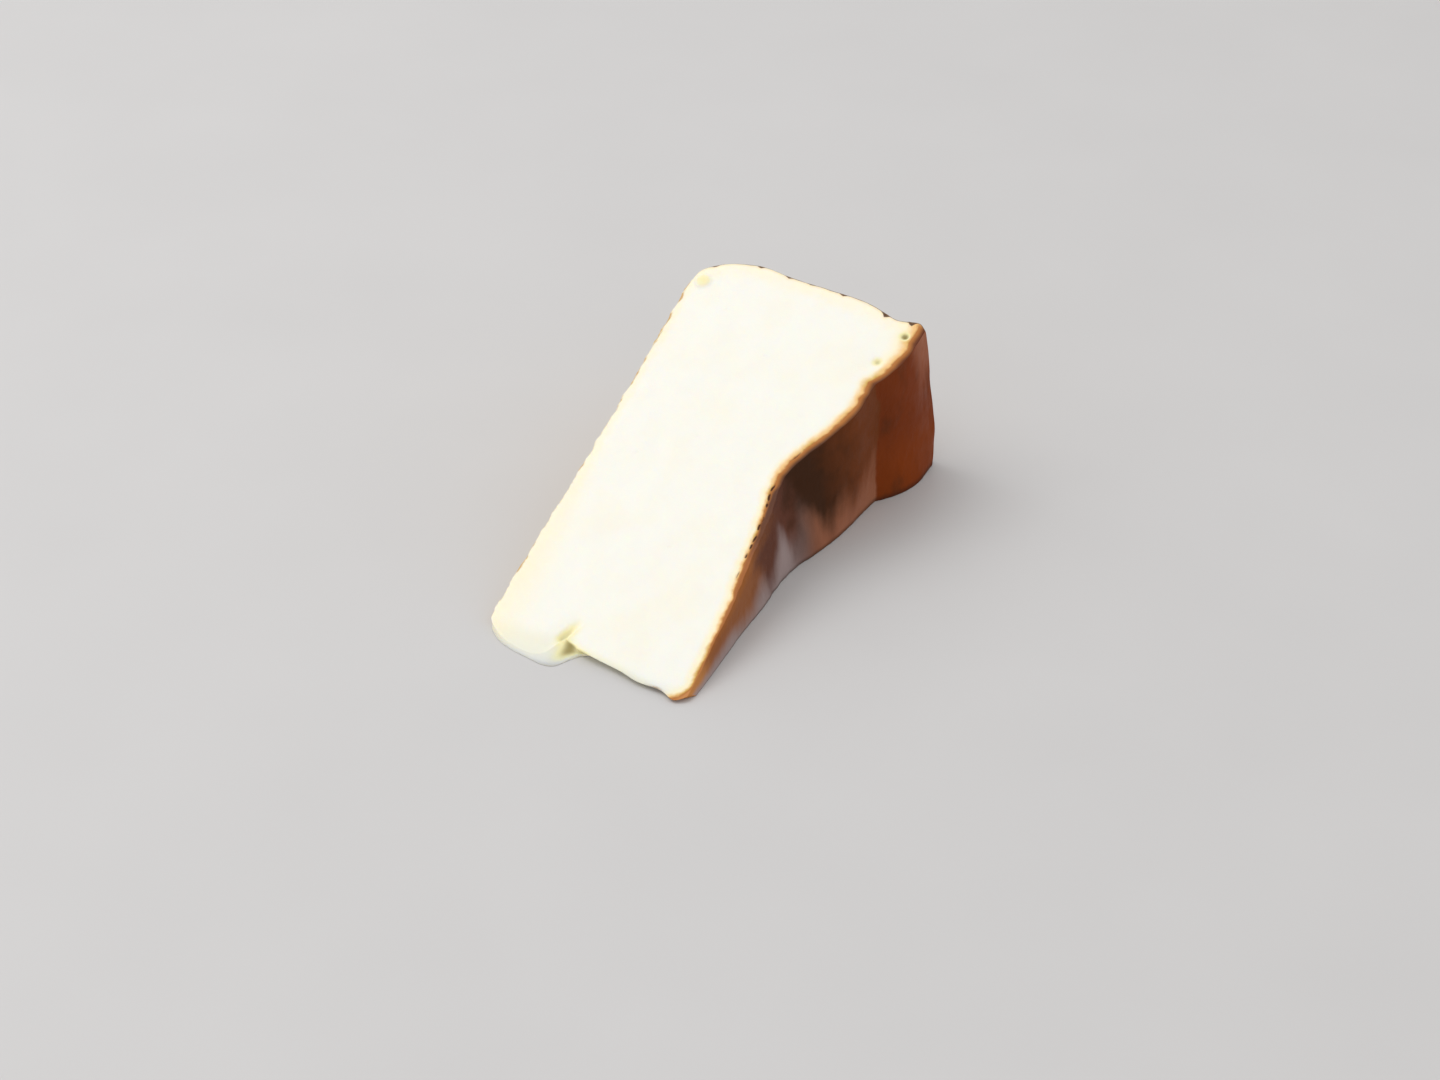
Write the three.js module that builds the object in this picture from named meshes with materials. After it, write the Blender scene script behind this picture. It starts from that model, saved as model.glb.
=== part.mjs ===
import * as THREE from 'three';
import { mergeVertices } from 'three/addons/utils/BufferGeometryUtils.js';

// A slice of burnt Basque cheesecake, lying on one of its two cut faces.
//
// Lengths are in millimetres. Every point of the slice is worked out from three measures of the cake:
// its distance from the cake's axis, its height above the cake's base, and how far round it lies, from
// the lower cut at 0 to the upper cut at 1. +X runs up the cake, from its base to its burnt top, +Y runs
// from the point of the slice to the rim, and +Z is up from the table.

const SLICES_PER_CAKE = 16;
const WEDGE = (2 * Math.PI) / SLICES_PER_CAKE;

// The burnt top sinks from its centre into a ring-shaped valley, climbs to a level shoulder, and turns up
// sharply to the rim. The two cuts show the same ring at other distances and depths.
const TOP_AT_LOWER_CUT = {
  centre: 57.6,
  valleyRadius: 54,
  valleyDrop: 3.4,
  valleyCurve: 1.1, // the power by which the top falls away towards the valley
  shoulderFrom: 54,
  shoulderTo: 86,
  shoulderRise: 5,
  rimFrom: 96.2,
  rimTo: 112.2,
  rimRise: 6.3,
};
const TOP_AT_UPPER_CUT = {
  centre: 56.5,
  valleyRadius: 66,
  valleyDrop: 5,
  valleyCurve: 1.6,
  shoulderFrom: 66,
  shoulderTo: 91,
  shoulderRise: 8.7,
  rimFrom: 99,
  rimTo: 112,
  rimRise: 4.9,
};

// Outer side, from the round corner at the base to the rim: [distance from the axis, height].
const SIDE_AT_LOWER_CUT = [
  [114, 0.2],
  [118.6, 1.8],
  [121.8, 5.5],
  [123.4, 11],
  [124, 19],
  [123.4, 29],
  [122.6, 39],
  [121.8, 48],
  [120.9, 55],
  [120.4, 60],
  [120.6, 63.6],
];
const SIDE_AT_UPPER_CUT = [
  [114, 0.2],
  [119, 1.8],
  [122, 5.5],
  [124.2, 11],
  [124.9, 17],
  [124, 26],
  [123.2, 38],
  [122.4, 47],
  [120.7, 53.6],
  [119.5, 58],
  [120.5, 62.6],
];
const RIM_EDGE_RADIUS = 118.6; // where the top's rounded rim meets the side

// Point of the slice, from the base to the top. The cream has slumped into a thin foot beside the base,
// and past the crack it stands a little off the table.
const POINT_AT_LOWER_CUT = [
  [6.2, 0.2],
  [3.4, 2.6],
  [0.9, 6],
  [-0.7, 10.5],
  [-1.6, 15.5],
  [-2.3, 19.6],
  [-1.4, 22.6],
  [2.2, 24.6],
  [5.2, 26.8],
  [6.3, 31.5],
  [5.6, 39],
  [5, 46.6],
  [4, 51.6],
  [2.9, 55],
];
const POINT_AT_UPPER_CUT = [
  [6, 0.2],
  [3.7, 2.8],
  [1.5, 6.4],
  [0.1, 11],
  [-0.5, 15.8],
  [1.4, 18.8],
  [6, 20.7],
  [5.6, 22.9],
  [4.6, 26.6],
  [3.7, 32],
  [2.8, 37.8],
  [1.4, 43.4],
  [1.3, 49],
  [0.5, 53.2],
];
const TOP_POINT_AT_LOWER_CUT = 4.6;
const TOP_POINT_AT_UPPER_CUT = 2.2;
const LIP_THICKNESS = 1.6; // softens the meeting of the two cuts, so that the foot keeps some thickness

// Vertical creases that the baking paper pressed into the outer side: how far round, depth and width.
const PAPER_CREASES = [
  { round: 0.17, depth: 1.1, width: 0.05, lean: 0.05 },
  { round: 0.41, depth: 1.6, width: 0.045, lean: -0.06 },
  { round: 0.63, depth: 0.9, width: 0.035, lean: 0.03 },
  { round: 0.84, depth: 1.4, width: 0.05, lean: -0.03 },
];
const CREASE_FADE_HEIGHT = 14; // the creases die away this far below the rim and above the base

const TOP_UNEVENNESS = 0.45; // gentle swells of the burnt top, which start some way out from the point
const SWELL_FROM = 12;
const SWELL_TO = 45;
const BASE_HOLLOW = 0.5; // the base is dished by this much half way out

// Grid of the surface: lines out from the point, up the cake, and round it. The lines up the cake lie
// closer together about the crack.
const STEPS_OUT = 42;
const STEPS_UP = 28;
const STEPS_ROUND = 12;
const CRACK_UP = 0.4; // height of the crack as a share of the cake's height
const CRACK_BUNCHING = 0.55; // 0 spaces the lines evenly

const { lerp, clamp, smoothstep } = THREE.MathUtils;

function mixShapes(from, to, share) {
  return Object.fromEntries(Object.keys(from).map((key) => [key, lerp(from[key], to[key], share)]));
}

// Gentle swells of the burnt top, by distance from the axis and along the ring.
function topSwell(radius, round) {
  const alongRing = radius * round * WEDGE;
  const wave = Math.sin(radius / 6.3 + 0.8) * Math.sin(alongRing / 5.2 + radius / 23 + 0.6);
  return TOP_UNEVENNESS * smoothstep(radius, SWELL_FROM, SWELL_TO) * wave;
}

// Height of the burnt top at a distance from the axis.
function topHeight(radius, round) {
  const top = mixShapes(TOP_AT_LOWER_CUT, TOP_AT_UPPER_CUT, round);
  const towardsValley = clamp(radius / top.valleyRadius, 0, 1) ** top.valleyCurve;
  const upTheRim = clamp((radius - top.rimFrom) / (top.rimTo - top.rimFrom), 0, 1);
  return (
    top.centre -
    top.valleyDrop * towardsValley +
    top.shoulderRise * smoothstep(radius, top.shoulderFrom, top.shoulderTo) +
    top.rimRise * (1 - (1 - upTheRim) ** 2) +
    topSwell(radius, round)
  );
}

// Depth of the paper's creases in the outer side.
function creaseDepth(height, round) {
  const rim = topHeight(RIM_EDGE_RADIUS, round);
  const fade = smoothstep(height, 0, CREASE_FADE_HEIGHT) * smoothstep(rim - height, 0, CREASE_FADE_HEIGHT);
  const depths = PAPER_CREASES.map(({ round: at, depth, width, lean }) => {
    const off = (round - at - lean * (height / rim)) / width;
    return depth * Math.exp(-off * off);
  });
  return fade * Math.max(...depths);
}

function curveThrough(knots) {
  return new THREE.SplineCurve(knots.map(([radius, height]) => new THREE.Vector2(radius, height)));
}

// The outline of one cut as four curves of [distance from the axis, height], each run by a share from 0
// to 1: the base and the top from the point outwards, the point and the side from the base upwards.
function cutOutline(pointKnots, topPointRadius, sideKnots, round) {
  const topPoint = [topPointRadius, topHeight(topPointRadius, round)];
  const rimEdge = [RIM_EDGE_RADIUS, topHeight(RIM_EDGE_RADIUS, round)];
  const point = curveThrough([...pointKnots, topPoint]);
  const side = curveThrough([...sideKnots, rimEdge]);
  const baseFrom = pointKnots[0];
  const baseTo = sideKnots[0];
  return {
    point: (share) => point.getPoint(share),
    side: (share) => side.getPoint(share),
    base: (share) =>
      new THREE.Vector2(
        lerp(baseFrom[0], baseTo[0], share),
        lerp(baseFrom[1], baseTo[1], share) + BASE_HOLLOW * Math.sin(Math.PI * share),
      ),
    top: (share) => {
      const radius = lerp(topPoint[0], rimEdge[0], share);
      return new THREE.Vector2(radius, topHeight(radius, round));
    },
  };
}

// A point inside an outline, as the blend of its four curves.
function insideOutline(outline, out, up) {
  const blend = new THREE.Vector2()
    .addScaledVector(outline.base(out), 1 - up)
    .addScaledVector(outline.top(out), up)
    .addScaledVector(outline.point(up), 1 - out)
    .addScaledVector(outline.side(up), out);
  return blend
    .addScaledVector(outline.base(0), -(1 - out) * (1 - up))
    .addScaledVector(outline.base(1), -out * (1 - up))
    .addScaledVector(outline.top(0), -(1 - out) * up)
    .addScaledVector(outline.top(1), -out * up);
}

// How far the upper cut stands above the table at a distance from the axis.
function cutRise(radius) {
  const straight = radius * Math.sin(WEDGE);
  return (straight + Math.hypot(straight, LIP_THICKNESS)) / 2;
}

function placeInSlice(out, up, round) {
  const lower = cutOutline(POINT_AT_LOWER_CUT, TOP_POINT_AT_LOWER_CUT, SIDE_AT_LOWER_CUT, round);
  const upper = cutOutline(POINT_AT_UPPER_CUT, TOP_POINT_AT_UPPER_CUT, SIDE_AT_UPPER_CUT, round);
  const spot = insideOutline(lower, out, up).lerp(insideOutline(upper, out, up), round);
  const onTheSide = out ** 8;
  const radius = spot.x - onTheSide * creaseDepth(spot.y, round);
  const angle = round * WEDGE;
  return new THREE.Vector3(
    spot.y,
    radius * Math.cos(angle),
    (cutRise(radius) * Math.sin(angle)) / Math.sin(WEDGE),
  );
}

// Moves evenly spaced lines up the cake towards the crack.
function bunchAtCrack(share) {
  const turn = 2 * Math.PI;
  const shift = Math.sin(turn * (share - CRACK_UP)) + Math.sin(turn * CRACK_UP);
  return share - (CRACK_BUNCHING * shift) / turn;
}

function makeSliceGeometry() {
  const block = new THREE.BoxGeometry(1, 1, 1, STEPS_UP, STEPS_OUT, STEPS_ROUND);
  block.deleteAttribute('normal');
  block.deleteAttribute('uv');
  const geometry = mergeVertices(block);
  const positions = geometry.getAttribute('position');
  for (let i = 0; i < positions.count; i += 1) {
    const up = bunchAtCrack(positions.getX(i) + 0.5);
    const out = positions.getY(i) + 0.5;
    const round = positions.getZ(i) + 0.5;
    const place = placeInSlice(out, up, round);
    positions.setXYZ(i, place.x, place.y, place.z);
  }
  geometry.computeBoundingBox();
  const centre = geometry.boundingBox.getCenter(new THREE.Vector3());
  geometry.translate(-centre.x, -centre.y, -geometry.boundingBox.min.z);
  geometry.computeVertexNormals();
  return geometry;
}

const cream = new THREE.MeshStandardMaterial({ color: 0xfbf6e3, roughness: 0.55, metalness: 0 });

const slice = new THREE.Mesh(makeSliceGeometry(), cream);
slice.name = 'cheesecake_slice';

const part = new THREE.Group();
part.add(slice);

export default part;
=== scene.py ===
# %% [markdown]
# A slice of burnt Basque cheesecake.
#
# The slice lies on one of its two cuts, so that the other cut, smooth and nearly white, faces up. The
# burnt top of the cake faces right and the base faces left. Three things make such a slice look real:
# the soft cream that lets light in, the thin burnt skin with its golden halo where the knife went
# through it, and the leathery folds of the top. The slice is one solid, so it is modelled as one mesh,
# and what changes across it is told to the materials by attributes that are stored on its vertices.

# %% Load the frame
import math

import bmesh
import bpy
import numpy as np
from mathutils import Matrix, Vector, noise


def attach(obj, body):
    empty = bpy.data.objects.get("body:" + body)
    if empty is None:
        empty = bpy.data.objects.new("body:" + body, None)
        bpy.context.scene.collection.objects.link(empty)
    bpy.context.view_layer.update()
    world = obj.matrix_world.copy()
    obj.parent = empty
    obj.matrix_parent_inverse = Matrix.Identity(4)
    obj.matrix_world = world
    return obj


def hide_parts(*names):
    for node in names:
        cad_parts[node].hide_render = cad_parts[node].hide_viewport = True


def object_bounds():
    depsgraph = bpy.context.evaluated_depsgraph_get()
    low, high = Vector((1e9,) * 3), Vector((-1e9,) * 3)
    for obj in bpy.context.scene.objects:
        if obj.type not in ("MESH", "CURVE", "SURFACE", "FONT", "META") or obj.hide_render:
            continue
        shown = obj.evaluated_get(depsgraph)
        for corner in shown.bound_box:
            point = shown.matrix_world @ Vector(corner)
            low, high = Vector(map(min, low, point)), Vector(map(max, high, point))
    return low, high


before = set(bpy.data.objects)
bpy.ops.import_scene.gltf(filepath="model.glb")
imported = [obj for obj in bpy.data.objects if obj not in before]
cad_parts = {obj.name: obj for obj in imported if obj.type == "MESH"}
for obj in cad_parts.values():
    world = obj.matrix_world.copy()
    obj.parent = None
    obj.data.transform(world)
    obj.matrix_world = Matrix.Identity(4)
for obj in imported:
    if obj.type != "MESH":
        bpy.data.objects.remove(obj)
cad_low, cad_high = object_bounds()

MM = 0.001
print("CAD box in mm:", [round(side / MM, 1) for side in cad_high - cad_low])

# %% [markdown]
# The camera comes first, because it settles how fine each part of the model has to be. The photograph
# looks down on the slice from the side of its point, by about 35 degrees. A long lens from 70 cm away
# gives the same mild perspective, in which the far end is drawn a little smaller than the point.

# %% Camera
CAMERA_AZIMUTH = math.radians(28.1)
CAMERA_ELEVATION = math.radians(35)
CAMERA_DISTANCE = 0.7
CAMERA_TARGET = Vector((-0.0005, 0.0018, 0))
LENS = 70
SENSOR_WIDTH = 36


def direction(azimuth, elevation):
    """The way from the slice to something seen in that direction. Azimuth 0 is the side of the point."""
    level = math.cos(elevation)
    return Vector((math.sin(azimuth) * level, -math.cos(azimuth) * level, math.sin(elevation)))


def aim(thing, place, target):
    thing.location = place
    thing.rotation_euler = (target - place).to_track_quat("-Z", "Y").to_euler()


camera = bpy.data.objects.new("camera", bpy.data.cameras.new("camera"))
camera.data.lens = LENS
camera.data.sensor_width = SENSOR_WIDTH
camera.data.clip_start = 0.01
camera.data.clip_end = 50
bpy.context.scene.collection.objects.link(camera)
bpy.context.scene.camera = camera
camera_place = CAMERA_TARGET + CAMERA_DISTANCE * direction(CAMERA_AZIMUTH, CAMERA_ELEVATION)
aim(camera, camera_place, CAMERA_TARGET)
print("camera at", [round(x, 3) for x in camera_place])

# %% [markdown]
# The form of the slice is told by three measures of the cake that it was cut from: the distance from the
# cake's axis, the height above its base, and how far round the wedge, from the lower cut at 0 to the
# upper cut at 1. The two cuts show slightly different outlines, so each outline is given twice, and
# what lies between is blended. Lengths are in millimetres here and become metres at the end.

# %% Measures of the slice
SLICES_PER_CAKE = 16
WEDGE = math.tau / SLICES_PER_CAKE

TOP_AT_LOWER_CUT = {
    "centre": 57.6,
    "valley_radius": 54,
    "valley_drop": 3.4,
    "valley_curve": 1.1,
    "shoulder_from": 54,
    "shoulder_to": 86,
    "shoulder_rise": 5,
    "rim_from": 96.2,
    "rim_to": 112.2,
    "rim_rise": 6.3,
}
TOP_AT_UPPER_CUT = {
    "centre": 56.5,
    "valley_radius": 66,
    "valley_drop": 5,
    "valley_curve": 1.6,
    "shoulder_from": 66,
    "shoulder_to": 91,
    "shoulder_rise": 8.7,
    "rim_from": 99,
    "rim_to": 112,
    "rim_rise": 4.9,
}

# Outer side and point, from the base upwards: (distance from the axis, height).
SIDE_AT_LOWER_CUT = [
    (114, 0.2), (118.6, 1.8), (121.8, 5.5), (123.4, 11), (124, 19), (123.4, 29),
    (122.6, 39), (121.8, 48), (120.9, 55), (120.4, 60), (120.6, 63.6),
]
SIDE_AT_UPPER_CUT = [
    (114, 0.2), (119, 1.8), (122, 5.5), (124.2, 11), (124.9, 17), (124, 26),
    (123.2, 38), (122.4, 47), (120.7, 53.6), (119.5, 58), (120.5, 62.6),
]
POINT_AT_LOWER_CUT = [
    (6.2, 0.2), (3.4, 2.6), (0.9, 6), (-0.7, 10.5), (-1.6, 15.5), (-2.3, 19.6), (-1.4, 22.6),
    (2.2, 24.6), (5.2, 26.8), (6.3, 31.5), (5.6, 39), (5, 46.6), (4, 51.6), (2.9, 55),
]
POINT_AT_UPPER_CUT = [
    (6, 0.2), (3.7, 2.8), (1.5, 6.4), (0.1, 11), (-0.5, 15.8), (1.4, 18.8), (6, 20.7),
    (5.6, 22.9), (4.6, 26.6), (3.7, 32), (2.8, 37.8), (1.4, 43.4), (1.3, 49), (0.5, 53.2),
]
RIM_EDGE_RADIUS = 118.6
TOP_POINT_AT_LOWER_CUT = 4.6
TOP_POINT_AT_UPPER_CUT = 2.2
print("wedge of", math.degrees(WEDGE), "degrees and", RIM_EDGE_RADIUS, "mm from the axis to the rim's edge")

# %% [markdown]
# Small helpers come next. A fade is a smooth step between two values, and a clump is a soft hump round a
# value. Both serve as masks that say where a form or a colour belongs. The rough helper reads Blender's
# own fractal noise at many points at once. It is the same every time, so nothing here is random. The
# curve helper draws the smooth curve through a few points that the outlines are made of.

# %% Masks and noise


def fade(value, start, end):
    share = np.clip((np.asarray(value, float) - start) / (end - start), 0, 1)
    return share * share * (3 - 2 * share)


def clump(value, centre, width):
    return np.exp(-(((np.asarray(value, float) - centre) / width) ** 2))


def rough(x, y, z, size, octaves):
    """Fractal noise of about -1 to 1 with lumps of a given size. A number for z picks one sheet of it."""
    x, y, z = np.broadcast_arrays(x, y, z)
    points = np.stack([x, y, z], -1) / np.asarray(size, float)
    return np.array([noise.fractal(Vector(p), 1.0, 2.0, octaves) for p in points])


def curve_through(knots, last, share):
    """Smooth curve through knots that ends at last, which differs from vertex to vertex."""
    rows = np.repeat(np.array(knots, float)[:, None], len(share), axis=1)
    rows = np.concatenate([rows, last[None]])
    place = share * (len(rows) - 1)
    at = np.minimum(place.astype(int), len(rows) - 2)
    along = (place - at)[:, None]
    each = np.arange(len(share))
    before, here, after, beyond = (rows[np.clip(at + k, 0, len(rows) - 1), each] for k in (-1, 0, 1, 2))
    leave, arrive = (after - before) / 2, (beyond - here) / 2
    cubic = 2 * here - 2 * after + leave + arrive
    square = -3 * here + 3 * after - 2 * leave - arrive
    return ((cubic * along + square) * along + leave) * along + here


sample = rough(np.arange(200.0), 0.0, 0.0, 4, 2)
print("noise runs from", sample.min().round(2), "to", sample.max().round(2))

# %% [markdown]
# The burnt top is a leathery skin. It sank while the cake cooled, which left a ring-shaped valley, a
# shoulder and a sharp rise to the rim, and it wrinkled as it shrank. The large form is a sum of smooth
# steps. On it lie soft folds that run along the ring, and finer wrinkles that are noise stretched the
# same way. All of it is added to one height, so that the cuts show the same folds in section.

# %% Burnt top
SWELL_HEIGHT = 0.45
FOLD_HEIGHT = 0.14
BROAD_FOLD_HEIGHT = 0.2
BROAD_FOLD_SPACING = 12.5
WRINKLE_HEIGHT = 0.2
FINE_WRINKLE_HEIGHT = 0.08


def top_form(radius, turn):
    """Height of the burnt top without its wrinkles."""
    top = {key: low + (TOP_AT_UPPER_CUT[key] - low) * turn for key, low in TOP_AT_LOWER_CUT.items()}
    towards_valley = np.clip(radius / top["valley_radius"], 0, 1) ** top["valley_curve"]
    up_the_rim = np.clip((radius - top["rim_from"]) / (top["rim_to"] - top["rim_from"]), 0, 1)
    shoulder = (radius - top["shoulder_from"]) / (top["shoulder_to"] - top["shoulder_from"])
    along_ring = radius * turn * WEDGE
    swell = np.sin(radius / 6.3 + 0.8) * np.sin(along_ring / 5.2 + radius / 23 + 0.6)
    return (
        top["centre"]
        - top["valley_drop"] * towards_valley
        + top["shoulder_rise"] * fade(shoulder, 0, 1)
        + top["rim_rise"] * (1 - (1 - up_the_rim) ** 2)
        + SWELL_HEIGHT * fade(radius, 12, 45) * swell
    )


def broad_folds(radius, turn):
    """Folds of -1 to 1 in the valley, which sway a little along the ring."""
    sway = 1.6 * rough(radius * turn * WEDGE, radius, 2.0, (14, 30, 9), 1)
    return np.cos((radius - 56 + sway) * math.tau / BROAD_FOLD_SPACING) * clump(radius, 58, 17)


def top_wrinkles(radius, turn):
    """Narrow folds near the table, noise stretched along the ring, and the broad folds."""
    along_ring = radius * turn * WEDGE
    folds = np.sin(radius / 0.8 + 0.16 * along_ring + 1.3 * np.sin(radius / 7.5))
    folds = folds * clump(radius, 50, 14) * (1 - fade(turn, 0.35, 0.8))
    wrinkles = rough(radius, along_ring, 3.0, (4.5, 13, 9), 3)
    fine = rough(radius, along_ring, 8.0, (1.5, 3.2, 9), 2)
    height = FOLD_HEIGHT * folds + WRINKLE_HEIGHT * wrinkles + FINE_WRINKLE_HEIGHT * fine
    height = height + BROAD_FOLD_HEIGHT * broad_folds(radius, turn) * (1 - fade(turn, 0.5, 0.95))
    return height * fade(radius, 2, 14) * fade(turn, -0.2, 0.25)


def top_height(radius, turn):
    return top_form(radius, turn) + top_wrinkles(radius, turn)


for cut, cut_turn in (("lower cut", 0.0), ("upper cut", 1.0)):
    heights = top_form(np.array([5.0, 60.0, 90.0, 115.0]), cut_turn)
    print("burnt top at the", cut, "in mm:", heights.round(1))

# %% [markdown]
# The two cuts are outlines of four curves: base, top, point and side. A point inside an outline is the
# blend of the curves opposite each other, which is called a Coons patch. The paper that lined the tin
# left upright creases in the side.

# %% Outlines of the cuts
BASE_HOLLOW = 0.5

# Creases of the baking paper in the outer side: how far round, depth, width and lean.
PAPER_CREASES = [
    (0.17, 1.1, 0.05, 0.05), (0.41, 1.6, 0.045, -0.06), (0.63, 0.9, 0.035, 0.03), (0.84, 1.4, 0.05, -0.03),
]
CREASE_FADE_HEIGHT = 14


def crease_depth(height, turn):
    rim = top_form(RIM_EDGE_RADIUS, turn)
    depth = np.zeros_like(height)
    for at, deepest, width, lean in PAPER_CREASES:
        depth = np.maximum(depth, deepest * clump(turn - lean * height / rim, at, width))
    return depth * fade(height, 0, CREASE_FADE_HEIGHT) * fade(rim - height, 0, CREASE_FADE_HEIGHT)


def inside_outline(out, up, turn, point_knots, top_point_radius, side_knots):
    """Distance from the axis and height of a point inside one cut's outline."""

    def on_top(radius):
        radius = np.broadcast_to(np.asarray(radius, float), turn.shape)
        return np.stack([radius, top_height(radius, turn)], -1)

    top_point, rim_edge = on_top(top_point_radius), on_top(RIM_EDGE_RADIUS)
    point = curve_through(point_knots, top_point, up)
    side = curve_through(side_knots, rim_edge, up)
    base_from, base_to = np.array(point_knots[0], float), np.array(side_knots[0], float)
    out, up = out[:, None], up[:, None]
    base = base_from + (base_to - base_from) * out
    base = base + [0, BASE_HOLLOW] * np.sin(math.pi * out)
    top = on_top(top_point[:, 0] + (rim_edge - top_point)[:, 0] * out[:, 0])
    corners = (
        (base_from * (1 - out) + base_to * out) * (1 - up)
        + (top_point * (1 - out) + rim_edge * out) * up
    )
    return base * (1 - up) + top * up + point * (1 - out) + side * out - corners


print("deepest paper crease at mid height in mm:",
      crease_depth(np.full(100, 30.0), np.linspace(0, 1, 100)).max().round(2))

# %% [markdown]
# What lies between the two cuts is their blend. The side and the base dried against paper and are
# slightly uneven, and this dies away quickly towards the inside of the slice. The slice lies on one cut,
# so the other rises from the table by the angle of the wedge. At the point the two cuts would meet in a
# line. There the upper cut stands a little higher, so that the foot keeps some thickness.

# %% Places in the slice
SIDE_RELIEF = 0.5
BASE_RELIEF = 0.9
LIP_THICKNESS = 1.6
FADE_INWARDS = 8  # the power by which the relief of side and base dies away inside the slice


def cut_rise(radius):
    """How far the upper cut stands above the table at a distance from the axis."""
    straight = radius * math.sin(WEDGE)
    return (straight + np.hypot(straight, LIP_THICKNESS)) / 2


def place_in_slice(out, up, turn):
    """Distance from the axis, and height, for shares of the way out, up and round."""
    lower = inside_outline(out, up, turn, POINT_AT_LOWER_CUT, TOP_POINT_AT_LOWER_CUT, SIDE_AT_LOWER_CUT)
    upper = inside_outline(out, up, turn, POINT_AT_UPPER_CUT, TOP_POINT_AT_UPPER_CUT, SIDE_AT_UPPER_CUT)
    radius, height = (lower + (upper - lower) * turn[:, None]).T
    along_ring = turn * WEDGE * RIM_EDGE_RADIUS
    side_relief = SIDE_RELIEF * (0.5 + 0.5 * rough(height, along_ring, 5.0, (6, 3.2, 9), 3))
    base_relief = BASE_RELIEF * (0.5 + 0.5 * rough(radius, radius * turn * WEDGE, 1.0, 3, 3))
    radius = radius - out**FADE_INWARDS * (crease_depth(height, turn) + side_relief)
    return radius, height + (1 - up) ** FADE_INWARDS * base_relief


def to_metres(radius, height, turn, lift):
    """Turns the cake's measures into points. Lift raises a point square to the upper cut."""
    angle = turn * WEDGE
    y = radius * np.cos(angle) - lift * math.sin(WEDGE)
    z = cut_rise(radius) * np.sin(angle) / math.sin(WEDGE) + lift * math.cos(WEDGE)
    return np.stack([height, y, z], -1) * MM


print("upper cut stands", cut_rise(RIM_EDGE_RADIUS).round(1), "mm above the table at the rim")

# %% [markdown]
# The mesh starts as a cube whose edges are divided along each of its three directions, so the whole
# skin is one closed grid. Its lines are moved closer together where the detail is fine: beside the
# burnt skin, at the point and its crack, and along the edges of the cuts. Later every vertex is moved
# to its place in the slice.

# %% Block of cake
LINES_OUT = 228
LINES_UP = 124
LINES_ROUND = 54


def divided_block():
    block = bmesh.new()
    bmesh.ops.create_cube(block, size=1)
    for axis, lines in enumerate((LINES_UP, LINES_OUT, LINES_ROUND)):
        edges = [e for e in block.edges if abs((e.verts[0].co - e.verts[1].co)[axis]) > 0.5]
        bmesh.ops.subdivide_edges(block, edges=edges, cuts=lines - 1, use_grid_fill=True)
    return block


block = divided_block()
shares = np.array([vertex.co for vertex in block.verts]) + 0.5

# Each line is moved from its even share of the way, in the first list, to the share in the second.
up = np.interp(shares[:, 0], [0, 0.05, 0.26, 0.52, 0.78, 1], [0, 0.03, 0.33, 0.53, 0.92, 1])
out = np.interp(shares[:, 1], [0, 0.16, 0.9, 1], [0, 0.1, 0.94, 1])
turn = np.interp(shares[:, 2], [0, 0.1, 0.9, 1], [0, 0.05, 0.95, 1])
print("block of", len(block.verts), "vertices and", len(block.faces), "faces")

# %% [markdown]
# The burnt skin is not equally thick. It is thickest where the top rolls over the rim, and thin at the
# point. The side has hardly any skin, apart from dark spots where the paper folded. The base is hardly
# browned, so its skin shows in some places and not in others.

# %% Skin of the cake
SKIN_ON_TOP = 1.5
SKIN_AT_RIM = 1.9
SKIN_AT_POINT = 0.65
SIDE_SKIN = 0.16
BASE_SKIN = 0.3

# Spots along the side of the upper cut where its skin folded in: height above the base, and thickness.
SIDE_SPOTS = [(5, 0.4), (16.6, 0.55), (25, 0.5), (31.7, 0.3), (40.9, 0.55), (53.8, 1.1), (61.4, 1.3)]
SIDE_SPOT_WIDTH = 0.8


def skin_thickness(radius, turn):
    skin = SKIN_ON_TOP + (SKIN_AT_POINT - SKIN_ON_TOP) * (1 - fade(radius, 12, 44))
    skin = skin + (SKIN_AT_RIM - skin) * fade(radius, 106, 118)
    return skin * (1 + 0.28 * rough(radius, 30 * turn, 9.0, 4.2, 2))


def side_spots(height):
    return sum(thickness * clump(height, at, SIDE_SPOT_WIDTH) for at, thickness in SIDE_SPOTS)


def side_skin_thickness(height, turn):
    skin = SIDE_SKIN * (1 + 0.8 * rough(height, 30 * turn, 2.0, 5, 2))
    return np.maximum(skin + side_spots(height), 0)


def base_skin_thickness(radius, turn):
    return BASE_SKIN * np.maximum(2.4 * rough(radius, 30 * turn, 7.0, 4, 3), 0)


print("burnt skin at the rim, shoulder, valley and point in mm:",
      skin_thickness(np.array([118.0, 85.0, 56.0, 8.0]), 1.0).round(2))

# %% [markdown]
# The knife pulled at the burnt skin and tore a row of small pits in the cream just under it. A pit is
# placed by its depth below the skin, so that the row follows every fold of the top. The depth is
# measured square to the top, which matters where the top is steep, as at the rim.

# %% Pits under the skin
PIT_DEPTH = 0.4


def depth_below_top(radius, height, turn):
    """Distance from the burnt top, measured square to it."""
    step = 1.0
    slope = (top_form(radius + step, turn) - top_form(radius - step, turn)) / (2 * step)
    return (top_height(radius, turn) - height) / np.hypot(1, slope)


def torn_pits(radius, below_skin):
    """Row of pits under the skin, strongest where the top falls into its valley."""
    beads = np.clip(rough(radius, 0.0, 4.0, 1.8, 2) * 2.4 + 0.5, 0, 1)
    strength = (0.12 + 0.88 * clump(radius, 55, 17)) * fade(rough(radius, 5.0, 1.0, 7, 2), -0.45, 0.1)
    wander = 0.35 * rough(radius, 9.0, 2.0, 2.6, 2)
    return beads * strength * clump(below_skin + wander, 0.2, 0.34)


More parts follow.
